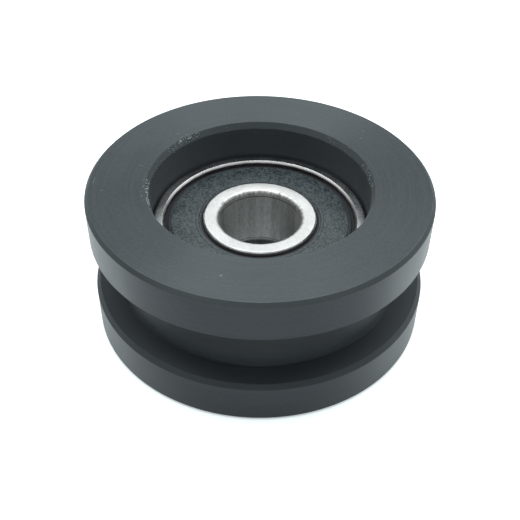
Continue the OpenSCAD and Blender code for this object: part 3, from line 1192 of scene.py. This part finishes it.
@dataclass
class SealedBearing:
    """The sealed deep-groove ball bearing. Heights are from its own middle plane."""

    middle: float = 11.0
    half_width: float = 5.0
    outer_radius: float = 16.0
    bore_radius: float = 6.0
    ring_corner: float = 0.6
    bore_corner: Pair = (0.65, 0.9)
    edge_break: float = 0.18
    raceway_radius: float = 3.06425
    outer_raceway_centre: float = 10.95075
    inner_raceway_centre: float = 11.04925
    outer_shoulder: float = 12.865
    inner_shoulder: float = 9.135
    seal_seat: float = 14.115
    seal_seat_height: float = 3.6
    undercut: float = 0.2
    undercut_top: float = 4.15
    bevel: float = 0.3
    lip_track: float = 8.385
    lip_track_height: float = 3.75
    track_ramp: float = 0.375
    seal_inset: float = 0.5
    seal_rim: float = 1.0
    seal_slack: float = 0.02
    seal_skin: float = 0.35
    rim_groove: float = 0.2
    rim_bead: float = 0.1
    snap_drop: float = 0.4
    insert_hole: float = 9.685
    insert_sheet: float = 0.3
    lip_gap: float = 0.03
    lip_bead: float = 0.08
    ball_count: int = 7
    raceway_steps: int = 32
    corner_steps: int = 8

    def lifted(self, outline: list[Corner]) -> list[Corner]:
        """Returns an outline moved up from the bearing's middle plane to its place in the wheel."""
        return [Corner(c.r, c.z + self.middle, c.rounding) for c in outline]

    @staticmethod
    def mirrored(upper: list[Corner]) -> list[Corner]:
        """Returns the mirror image of an outline's upper half, in the order that continues it."""
        return [Corner(c.r, -c.z, c.rounding) for c in reversed(upper)]

    def raceway(self, centre: float, shoulder: float, facing: float) -> list[Corner]:
        """Returns a raceway between its shoulders, with its floor at 0 or 180 degrees."""
        half = math.degrees(math.acos(abs(shoulder - centre) / self.raceway_radius))
        ends = facing + half, facing - half
        return arc((centre, 0.0), self.raceway_radius, *ends, self.raceway_steps)

    def outer_ring_outline(self) -> list[Corner]:
        """Returns the outer ring's section, anticlockwise."""
        upper = [
            Corner(self.outer_radius, self.half_width, self.ring_corner),
            Corner(self.seal_seat + self.bevel, self.half_width, 0.04),
            Corner(self.seal_seat, self.half_width - self.bevel, 0.04),
            Corner(self.seal_seat, self.undercut_top),
            Corner(self.seal_seat + self.undercut, self.undercut_top, 0.04),
            Corner(self.seal_seat + self.undercut, self.seal_seat_height, 0.04),
            Corner(self.outer_shoulder, self.seal_seat_height, 0.06),
        ]
        raceway = self.raceway(self.outer_raceway_centre, self.outer_shoulder, 0)
        return self.lifted(upper + raceway + self.mirrored(upper))

    def inner_ring_outline(self) -> list[Corner]:
        """Returns the inner ring's section, anticlockwise."""
        reach, drop = self.bore_corner
        quarter = arc((1.0, 0.0), 1.0, 90, 180, self.corner_steps)
        bore, top = self.bore_radius, self.half_width
        upper = [
            Corner(self.inner_shoulder, self.lip_track_height - self.track_ramp, 0.06),
            Corner(self.lip_track, self.lip_track_height, 0.05),
            Corner(self.lip_track, top - self.edge_break, 0.08),
            Corner(self.lip_track - self.edge_break, top, 0.08),
            *(Corner(bore + reach * c.r, top - drop * (1 - c.z)) for c in quarter),
        ]
        raceway = self.raceway(self.inner_raceway_centre, self.inner_shoulder, 180)
        return self.lifted(upper + self.mirrored(upper) + raceway)

    def seal_outline(self, side: Side) -> list[Corner]:
        """Returns one seal's rubber section, anticlockwise.

        Args:
            side: The end of the bearing that the seal closes.

        Returns:
            The corners, at their heights in the wheel.
        """
        face = self.half_width - self.seal_inset
        groove, bead, snap = (face - d for d in (self.rim_groove, self.rim_bead, self.snap_drop))
        rim, hole = self.seal_seat - self.seal_rim, self.insert_hole
        lip = self.lip_track + self.lip_gap
        edge = self.seal_seat + self.undercut - self.seal_slack
        low = self.seal_seat_height + self.seal_slack
        skin = face - self.seal_skin
        sheet = skin - self.insert_sheet
        clockwise = (
            (rim, face, 0.05),
            (rim + 0.10, groove, 0.04),
            (rim + 0.20, groove, 0.04),
            (rim + 0.30, bead, 0.04),
            (rim + 0.45, bead, 0.04),
            (rim + 0.55, snap, 0.05),
            (edge - 0.10, snap, 0.05),
            (edge, snap - 0.10, 0.05),
            (edge, low, 0.05),
            (rim + 0.25, low, 0.0),
            (rim + 0.25, skin, 0.0),
            (hole, skin, 0.0),
            (hole, sheet, 0.0),
            (hole - 0.25, sheet, 0.06),
            (hole - 0.70, sheet - 0.10, 0.06),
            (lip, sheet + 0.10, 0.04),
            (lip, bead - 0.20, 0.05),
            (lip + 0.20, bead, 0.08),
            (hole - 0.70, bead, 0.05),
            (hole - 0.55, face + self.lip_bead, 0.05),
            (hole - 0.25, face + self.lip_bead, 0.05),
            (hole - 0.15, face, 0.05),
        )
        turned = [Corner(*row) for row in reversed(clockwise)]
        return self.lifted(turned if side is Side.UPPER else self.mirrored(turned))

    def outer_finish(self) -> GroundSteel:
        """Returns the outer ring's finish, with the scratches and the nick of its upper face."""
        top = self.middle + self.half_width
        scratches = (
            (12.9, 7.9, 13.9, 8.6, 0.05),
            (13.3, 6.1, 13.9, 6.5, 0.05),
            (13.8, 5.0, 14.3, 5.4, 0.04),
            (-15.4, 3.6, -15.0, 4.3, 0.04),
            (-15.4, -1.5, -15.2, -1.1, 0.05),
        )
        return GroundSteel(
            "ground_outer_ring",
            base=(0.76, 0.77, 0.78),
            shade=(0.58, 0.59, 0.60),
            roughness=(0.22, 0.30),
            grain_cells=2.6,
            grinding=(12.0, 5.0),
            # Painted highlight on the bevel by the seal.
            highlight_radius=self.seal_seat + self.bevel,
            # Painted shade below the bevel in the seal's gap and on the ring's rounded outer
            # corner.
            dark_rims=(
                Rim(self.seal_seat, top - self.bevel, 0.36),
                Rim(self.seal_seat, top - self.bevel - 0.4, 0.4),
                Rim(self.outer_radius, top, 0.75),
            ),
            strokes=strokes_at(top, scratches),
            nicks=(Stroke((-9.15, 10.75, top - self.bevel / 2), (-9.0, 11.0, top), 0.20),),
        )

    def inner_finish(self) -> GroundSteel:
        """Returns the inner ring's finish, with dark bands at both mouths of its bore."""
        mouth = self.half_width - self.bore_corner[1]
        return GroundSteel(
            "ground_inner_ring",
            base=(0.76, 0.77, 0.76),
            shade=(0.65, 0.66, 0.65),
            grain_cells=1.6,
            grinding=(9.0, 5.0),
            grain_share=0.35,
            relief=(0.05, 0.012),
            bore_edge=self.bore_radius + 0.02,
            dark_rims=(
                Rim(self.bore_radius, self.middle + mouth, 0.16),
                Rim(self.bore_radius, self.middle - mouth, 0.16),
            ),
        )

    def build(self) -> None:
        """Makes the rings and seals and dresses the balls, the cage and the inserts."""
        outer = self.outer_finish().material()
        inner = self.inner_finish().material()
        rubber = MouldedRubber().material()
        outer_ring = Lathe.turn("ground_outer_ring", self.outer_ring_outline(), outer)
        seat_piece(outer_ring, Body.WHEEL, Slot.RING, "outer_ring")
        inner_ring = Lathe.turn("ground_inner_ring", self.inner_ring_outline(), inner)
        seat_piece(inner_ring, Body.HUB, Slot.RING, "inner_ring")
        for side in Side:
            node = f"{side.value}_seal"
            seal = Lathe.turn(f"moulded_{node}", self.seal_outline(side), rubber)
            seat_piece(seal, Body.WHEEL, Slot.SEAL, node)
        self.dress_hidden_parts()

    def dress_hidden_parts(self) -> None:
        """Gives the balls, the cage with its rivets and the seal inserts their finishes."""
        balls = [f"ball_{number}" for number in range(1, self.ball_count + 1)]
        cage, rivets = ["cage_upper", "cage_lower"], ["cage_rivets"]
        inserts = ["upper_seal_insert", "lower_seal_insert"]
        for names, *finish in (
            (balls, "lapped_ball_steel", (0.80, 0.81, 0.82), 0.08, (0.05, 0.10), 1.5, (0.03, 0.01)),
            (cage, "pressed_cage_sheet", (0.62, 0.60, 0.56), 0.18, (0.26, 0.42), 3.0),
            (rivets, "headed_rivet_wire", (0.70, 0.68, 0.64), 0.18, (0.22, 0.36), 5.0),
            (inserts, "plated_insert_sheet", (0.56, 0.57, 0.58), 0.16, (0.30, 0.45), 2.2),
        ):
            material = BrightMetal(*finish).material()
            for name in names:
                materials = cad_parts[name].data.materials
                materials.clear()
                materials.append(material)
                LOG.info("%s keeps its CAD shape with finish %s", name, material.name)


# The studio


@dataclass(frozen=True)
class GlowRing:
    """Soft bright patches at one height of the sky, in degrees, and what each angle round adds."""

    height: float
    tightness: float
    adds: Mapping[float, float]

    def aim(self, turn: float) -> Point:
        """Returns the direction of the patch at an angle round from the front."""
        round_it, up = math.radians(turn), math.radians(self.height)
        return (math.cos(up) * math.sin(round_it), -math.cos(up) * math.cos(round_it), math.sin(up))


@dataclass
class Studio:
    """A pale floor and a soft white sky, brighter above than in front of the object."""

    floor_size: float = 4000.0
    floor_drop: float = 0.02
    floor_colour: Colour = (0.86, 0.87, 0.88)
    cast: Colour = (0.965, 1.0, 1.005)
    footprint: Pair = (24.2, 25.4)
    camera_white: Pair = (0.60, 0.62)
    halo: Pair = (25.8, 27.5)
    floor_glow: Colour = (0.90, 1.0, 1.01)
    white_reach: Pair = (-29.5, -15.0)
    back_white: float = 0.65
    # Painted shade: the floor that mirroring faces see in front of the wheel.
    front_shade: Colour = (0.62, 0.63, 0.64)
    # Painted light: the floor under the wheel glows for bouncing rays and lights the wheel's lower
    # side.
    under_wheel: Pair = (14.9, 24.2)
    under_light: float = 0.7
    under_bearing: float = 14.2
    base_level: float = 0.18
    glows: tuple[GlowRing, ...] = (
        GlowRing(50, 60.0, {0: 0.53}),
        GlowRing(70, 30.0, {105: 1.85, 150: 2.66, 180: 1.02, 210: 2.87, 255: 2.89}),
        GlowRing(50, 15.0, {45: 0.31, 135: 1.45, 225: 0.75, 270: 0.32, 315: 0.41}),
        GlowRing(22, 10.0, {0: 0.51, 60: 0.27, 100: 0.66, 180: 1.04, 260: 0.4}),
    )

    def sky(self) -> None:
        """Sets the world: soft light from all round, plain white to the camera."""
        world = bpy.data.worlds.new("studio_sky")
        bpy.context.scene.world = world
        world.use_nodes = True
        graph = Graph(world.node_tree)
        way = graph.node("ShaderNodeTexCoord").outputs["Generated"]
        level: Any = self.base_level
        for ring in self.glows:
            for turn, adds in ring.adds.items():
                facing = graph.vector("DOT_PRODUCT", way, ring.aim(turn))
                lobe = graph.math("POWER", graph.math("MAXIMUM", facing, 0.0), ring.tightness)
                level = graph.math("MULTIPLY_ADD", lobe, adds, level)
        seen = graph.node("ShaderNodeLightPath").outputs["Is Camera Ray"]
        tint = graph.blend(seen, self.cast, WHITE)
        light = {"Color": tint, "Strength": graph.mix(seen, level, 1.0)}
        sky = graph.out("ShaderNodeBackground", light)
        graph.node("ShaderNodeOutputWorld", {"Surface": sky})

    def floor_material(self) -> Material:
        """Builds the floor: pale and dull, with the white of the sweep added for what looks at it.

        The camera sees a halo beyond the footprint, mirroring faces see white behind the wheel and
        painted shade in front, and a glow under the wheel is painted light on its lower side.
        """
        material, graph = new_material("studio_floor", self.floor_colour)
        material.cycles.emission_sampling = "NONE"
        rays = graph.node("ShaderNodeLightPath").outputs
        at = graph.place()
        clear_of_wheel = graph.remap(at.radius, self.footprint, smooth=True)
        behind = graph.remap(graph.split(at.spot, "Y"), self.white_reach, smooth=True)
        mirrored = graph.math("MAXIMUM", rays["Is Glossy Ray"], rays["Is Transmission Ray"])
        mirrored = graph.product(mirrored, clear_of_wheel)
        seen = graph.product(rays["Is Camera Ray"], clear_of_wheel)
        white = graph.remap(at.radius, self.halo, self.camera_white)
        sweep = graph.product(mirrored, behind, self.back_white)
        added = graph.math("MULTIPLY_ADD", seen, white, sweep)
        dull = graph.product(mirrored, graph.inverse(behind))
        # Painted light: a glow under the wheel's lower face and under the bearing.
        hole_edge, face_edge = self.under_wheel
        beyond_hole = graph.math("GREATER_THAN", at.radius, hole_edge)
        within_face = graph.math("LESS_THAN", at.radius, face_edge)
        bounced = graph.math("MAXIMUM", rays["Is Glossy Ray"], rays["Is Diffuse Ray"])
        covered = graph.product(beyond_hole, within_face, bounced)
        in_hole = graph.math("LESS_THAN", at.radius, self.under_bearing)
        lit = graph.math("MAXIMUM", covered, graph.product(in_hole, rays["Is Diffuse Ray"]))
        added = graph.math("MULTIPLY_ADD", lit, self.under_light, added)
        # Painted shade on the floor in front, for mirroring faces.
        ground = graph.blend(dull, self.floor_colour, self.front_shade)
        diffuse = graph.out("ShaderNodeBsdfDiffuse", {"Color": ground})
        glow = graph.out("ShaderNodeEmission", {"Color": self.floor_glow, "Strength": added})
        both = graph.out("ShaderNodeAddShader", {0: diffuse, 1: glow})
        clear = graph.out("ShaderNodeBsdfTransparent")
        below = graph.node("ShaderNodeNewGeometry").outputs["Backfacing"]
        surface = graph.out("ShaderNodeMixShader", {0: below, 1: both, 2: clear})
        graph.node("ShaderNodeOutputMaterial", {"Surface": surface})
        return material

    def floor(self) -> None:
        """Lays the floor just under the wheel."""
        half, depth = self.floor_size / 2 * MM, -self.floor_drop * MM
        mesh = bpy.data.meshes.new("studio_floor")
        corners = [(x * half, y * half, depth) for x, y in ((-1, -1), (1, -1), (1, 1), (-1, 1))]
        mesh.from_pydata(corners, [], [(0, 1, 2, 3)])
        mesh.materials.append(self.floor_material())
        plane = bpy.data.objects.new("studio_floor", mesh)
        bpy.context.scene.collection.objects.link(plane)

    def build(self) -> None:
        """Sets up the sky and the floor."""
        self.sky()
        self.floor()


@dataclass
class Viewpoint:
    """The camera: in front of the object and above it, looking down at the bearing."""

    back: float = 95.8
    height: float = 91.55
    tilt: float = 41.33
    pan: float = -0.065
    roll: float = 0.832
    lens: float = 56.94
    sensor: float = 36.0
    clip: Pair = (5.0, 20000.0)

    def build(self) -> None:
        """Makes the camera and gives it to the scene."""
        data = bpy.data.cameras.new("viewpoint")
        data.lens = self.lens
        data.sensor_width = self.sensor
        data.clip_start, data.clip_end = (distance * MM for distance in self.clip)
        camera = bpy.data.objects.new("viewpoint", data)
        bpy.context.scene.collection.objects.link(camera)
        pan = Matrix.Rotation(math.radians(self.pan), 4, "Z")
        tilt = Matrix.Rotation(math.radians(90 - self.tilt), 4, "X")
        roll = Matrix.Rotation(math.radians(self.roll), 4, "Z")
        place = Matrix.Translation((0.0, -self.back * MM, self.height * MM))
        camera.matrix_world = place @ pan @ tilt @ roll
        bpy.context.scene.camera = camera


def main() -> None:
    """Builds the wheel, the bearing and the studio in order."""
    logging.basicConfig(level=logging.INFO, format="%(name)s: %(message)s")
    bpy.context.scene.view_settings.view_transform = "Standard"
    PlasticWheel().build()
    SealedBearing().build()
    Studio().build()
    Viewpoint().build()


if __name__ == "__main__":
    main()
